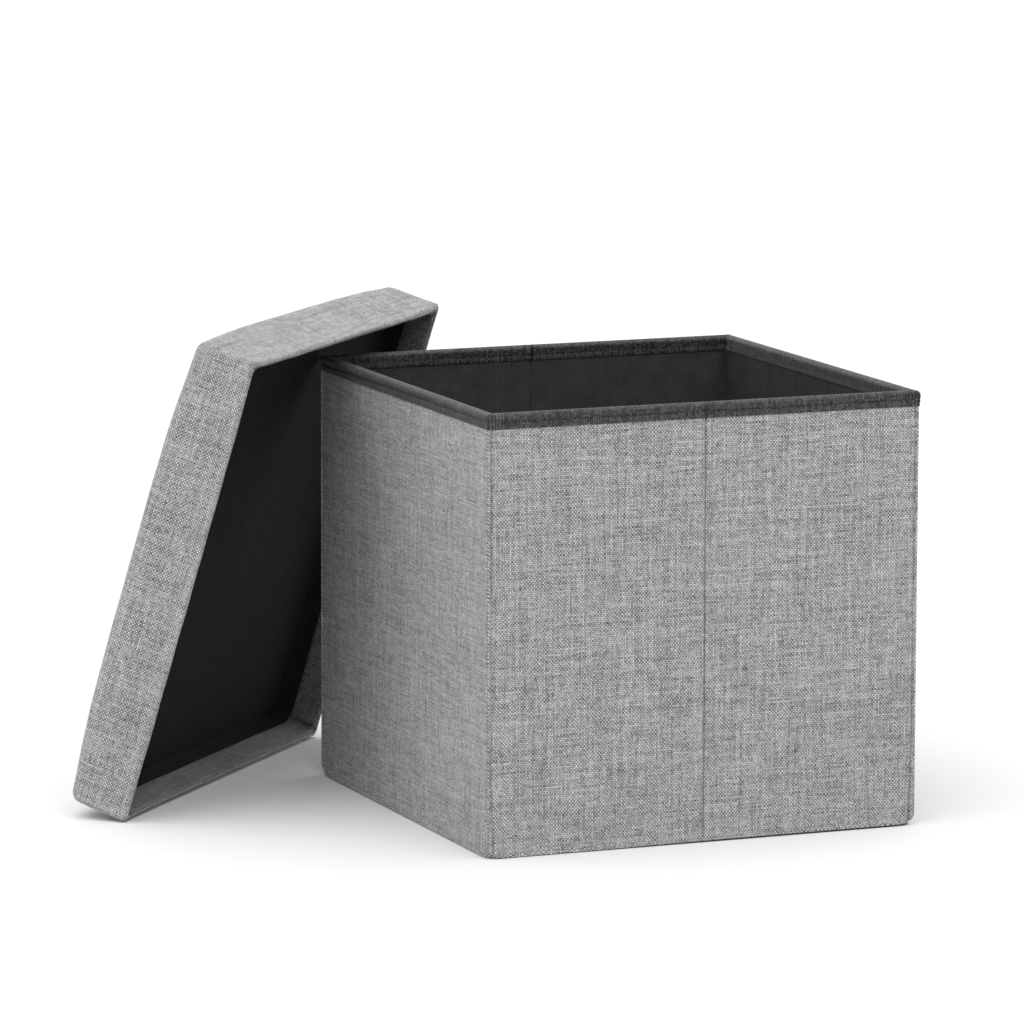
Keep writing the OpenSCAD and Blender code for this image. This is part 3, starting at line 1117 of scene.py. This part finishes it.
def cover_top(x, y):
    in_x, in_y = LID_TOP_HALF - np.abs(x), LID_TOP_HALF - np.abs(y)
    from_corner = np.hypot(in_x, in_y) + LID_HALF - LID_TOP_HALF
    edge = smooth(np.minimum(in_x, in_y), 0, 40)
    level = LID_CORNER_Z + (LID_PAD_Z - LID_CORNER_Z) * puff(from_corner)
    return level + crown_at(x, y) + 0.35 * edge * ripple(x, y, PAD_SEED, (45, 120))


fold_mid = (LID_HALF + LID_HEM_AT) / 2
fold_half = (LID_HALF - LID_HEM_AT) / 2
fold_turn = np.radians([20, 45, 70, 90, 110, 135, 160])
fold_radius = HEM_CORNER - (HEM_CORNER - 3) * np.sqrt(np.arange(7) / 6)
swell = puff((1 - np.abs(LID_T[:-1])) * LID_HALF)
hem_wave = 0.8 * ripple(LID_STEPS[:-1], 0.0, HEM_SEED, (50, 130))
# From the hem's edge down inside, round the lid's open edge and up its outer side.
lid_rings = [
    (LID_HEM_AT + 0.35, LID_HEM_Z + hem_wave, HEM_CORNER),
    (LID_HEM_AT, LID_HEM_Z - 0.7 + hem_wave, HEM_CORNER),
    *((LID_HEM_AT, z, HEM_CORNER) for z in (19.0, 14.0, 9.5, 6.0, 4.0)),
    *(
        (fold_mid - fold_half * math.cos(a), 3 - 3 * math.sin(a), radius)
        for a, radius in zip(fold_turn, fold_radius)
    ),
    *((LID_HALF, z, 3 + z / 12) for z in (3.2, 5, 7.5, 11, 15)),
]
# The rest of the side and the shoulder: half size, height at a corner and between corners,
# how far out it swells, corner radius.
for half, z_corner, z_middle, out, radius in (
    (LID_HALF, 20.0, 20.0, 0.3, 4.5),
    (LID_HALF, 25.5, 26.0, 0.5, 5.0),
    (LID_HALF, 31.0, 32.0, 0.8, 5.5),
    (LID_HALF, 36.5, 38.0, 1.1, 6.0),
    (LID_HALF, 40.6, 43.0, 1.2, 6.5),
    (189.7, 43.6, 47.0, 1.1, 6.8),
    (189.0, 45.9, 49.8, 0.8, 6.6),
    (187.7, 47.9, 52.4, 0.4, 6.0),
    (185.8, 49.4, 54.6, 0.0, 5.0),
    (183.0, 50.3, 56.2, -0.6, 3.5),
    (179.0, 50.8, 57.2, -0.4, 2.0),
):
    lid_rings.append((half, z_corner + (z_middle - z_corner) * swell, radius, out * swell))
# Ring numbers: the inside, the turn at the open edge, and the first of the top's grid.
LAST_HEM_RING, FIRST_FOLD_RING, LAST_FOLD_RING, TOP_RING = 9, 5, 15, len(lid_rings)
points, faces, weave, ring_no, corner = tray(lid_rings, LID_TOP_HALF, cover_top, 1.0)
in_fold = (ring_no >= FIRST_FOLD_RING) & (ring_no <= LAST_FOLD_RING)
in_seam = (ring_no > LAST_FOLD_RING) & (ring_no < TOP_RING)
in_side = (ring_no > 2) & (ring_no < TOP_RING)
# The corners' seams are pinched in, and the sides are a little uneven.
around = np.arctan2(points[:, 1], points[:, 0]) * LID_HALF
uneven = 0.3 * ripple(around, points[:, 2], SIDE_SEED, (30, 90)) * smooth(corner, 2, 20)
amount = in_side * uneven - 0.75 * bell(corner, 1.1) * in_fold - 0.4 * bell(corner, 0.9) * in_seam
points = push(points, faces, amount)
# The lid's turned-in hem is painted darker, most near its corners: painted shade inside the lid.
hem_painted_shade = (0.46 + 0.3 * bell(corner, 5)) * (ring_no <= LAST_HEM_RING)
lid_cover = lid_piece(
    "lid_fabric_cover", points, faces, GREY, corner_weave=weave, thickness=CLOTH, painted_shade=hem_painted_shade
)
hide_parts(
    "lid_top_cover", "lid_front_cover", "lid_back_cover", "lid_left_cover", "lid_right_cover"
)


def panel_z(x, y):
    """The lining over the top board, a little uneven away from its edges."""
    edge = smooth(181 - np.maximum(np.abs(x), np.abs(y)), 0, 30)
    return LID_RECESS - 0.25 - edge * (0.5 + 0.35 * ripple(x, y, PANEL_SEED, (60, 160)))


lining_rings = [
    (185.15, 14.0, 12.6), (185.1, 21.0, 12.6), (184.95, 24.6, 12.6), (184.3, 26.2, 12.6),
    (183.9, 29.0, 12.6), (183.7, 31.8, 12.6), (183.5, 34.0, 12.2), (182.9, 35.6, 11.4),
    (182.2, 36.6, 10.6), (181.6, 36.95, 10.0),
]
points, faces, weave, *_ = tray(lining_rings, 180.8, panel_z, 9.0, flip=True, shift=9000.0)
lid_lining = lid_piece("lid_inner_lining", points, faces, LID_BLACK, corner_weave=weave, thickness=0.5)
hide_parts("lid_lining")


def square_rings(rows):
    return [ring_points(half, half, radius, z) for half, z, radius in rows]


points, faces = loft(square_rings([
    (60, 37.65, 4), (187.4, 37.65, 8), (187.8, 37.9, 8.3),
    (187.8, 40.2, 8.3), (187.4, 40.5, 8), (60, 40.5, 4),
]))
panel = lid_piece("lid_board_panel", points, faces, BOARD, weave=flat_weave(points))
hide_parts("lid_top_board")

foam_edge = square_rings([
    (60, 40.6, 4), (186.2, 40.6, 7), (186.8, 41.2, 7),
    (186.2, 43.5, 9), (183.5, 46.6, 12), (179, 48.4, 14),
])
foam_top = square_rings([(half, 0, 16 * half / 180) for half in (173, 167, 158, 145, 120, 90, 60, 30)])
for ring in foam_top:
    # Just below the padded top cover.
    ring[:, 2] = cover_top(ring[:, 0], ring[:, 1]) - 1.5
points, faces = loft(foam_edge + foam_top)
foam = lid_piece("lid_foam_pad", points, faces, FOAM, weave=flat_weave(points))
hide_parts("lid_foam")

for number, side in enumerate(("front", "right", "back", "left")):
    length = 184.0 if side in ("front", "back") else 183.0
    points, faces = loft([
        ring_points(length - inset, 1.8 - inset, 0.5, z, 3, (0.0, -187.0))
        for z, inset in ((1.6, 0.5), (2.1, 0.05), (36.3, 0.0), (36.9, 0.5))
    ])
    points = rotate(points, 90 * number)
    board = lid_piece(f"lid_{side}_side_board", points, faces, BOARD, weave=points[:, :2])
    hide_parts(f"lid_{side}_board")


# ---- boards that are shown as packed

for name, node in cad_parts.items():
    if name.endswith("_board") and not name.startswith("lid_"):
        node.data.materials.clear()
        node.data.materials.append(BOARD)


# ---- floor, light and camera

FLOOR_HALF = 30.0

floor_mesh = bpy.data.meshes.new("studio_floor")
corners = [(x * FLOOR_HALF, y * FLOOR_HALF, 0) for x, y in ((-1, -1), (1, -1), (1, 1), (-1, 1))]
floor_mesh.from_pydata(corners, [], [(0, 1, 2, 3)])
floor_mesh.materials.append(pale_floor())
floor = add_object("studio_floor", floor_mesh)
floor.location.z = -0.0002

world = bpy.data.worlds.new("studio")
scene.world = world
world.use_nodes = True
sky = world.node_tree.nodes
background = next(node for node in sky if node.type == "BACKGROUND")
background.inputs["Color"].default_value = (1, 1, 1, 1)
# The sky is dimmer towards the front of the box, and plain white where the camera sees it.
direction = sky.new("ShaderNodeTexCoord").outputs["Generated"]
split = sky.new("ShaderNodeSeparateXYZ")
grade = sky.new("ShaderNodeMapRange")
grade.interpolation_type = "SMOOTHSTEP"
for socket, value in (("From Min", -0.7), ("From Max", 0.5), ("To Min", 0.5), ("To Max", 1.0)):
    grade.inputs[socket].default_value = value
seen = sky.new("ShaderNodeLightPath").outputs["Is Camera Ray"]
brighter = sky.new("ShaderNodeMath")
brighter.operation = "MAXIMUM"
for source, target in (
    (direction, split.inputs[0]),
    (split.outputs["Y"], grade.inputs["Value"]),
    (grade.outputs[0], brighter.inputs[0]),
    (seen, brighter.inputs[1]),
    (brighter.outputs[0], background.inputs["Strength"]),
):
    world.node_tree.links.new(source, target)

SUN_ENERGY = 2.25
SUN_ANGLE = math.radians(76)
SUN_FROM = Vector((-0.16, -0.39, 0.91))

sun_data = bpy.data.lights.new("overhead_soft", "SUN")
sun_data.energy = SUN_ENERGY
sun_data.angle = SUN_ANGLE
sun = add_object("overhead_soft", sun_data)
sun.rotation_euler = SUN_FROM.to_track_quat("Z", "Y").to_euler()

scene.view_settings.view_transform = "Standard"

VIEW_TARGET = Vector((-0.158018, -0.177, 0.26333))
VIEW_DISTANCE = 4.9962
VIEW_HEADING = math.radians(-22.224)
VIEW_PITCH = math.radians(9.016)
VIEW_ROLL = math.radians(0.156)
VIEW_LENS = 235.6

camera_data = bpy.data.cameras.new("view_camera")
camera_data.lens = VIEW_LENS
camera_data.sensor_width = 36
camera_data.clip_end = 100
camera = add_object("view_camera", camera_data)
back = Vector((
    math.sin(VIEW_HEADING) * math.cos(VIEW_PITCH),
    -math.cos(VIEW_HEADING) * math.cos(VIEW_PITCH),
    math.sin(VIEW_PITCH),
))
camera.location = VIEW_TARGET + back * VIEW_DISTANCE
camera.rotation_euler = (
    back.to_track_quat("Z", "Y").to_matrix().to_4x4() @ Matrix.Rotation(VIEW_ROLL, 4, "Z")
).to_euler()
bpy.context.scene.camera = camera
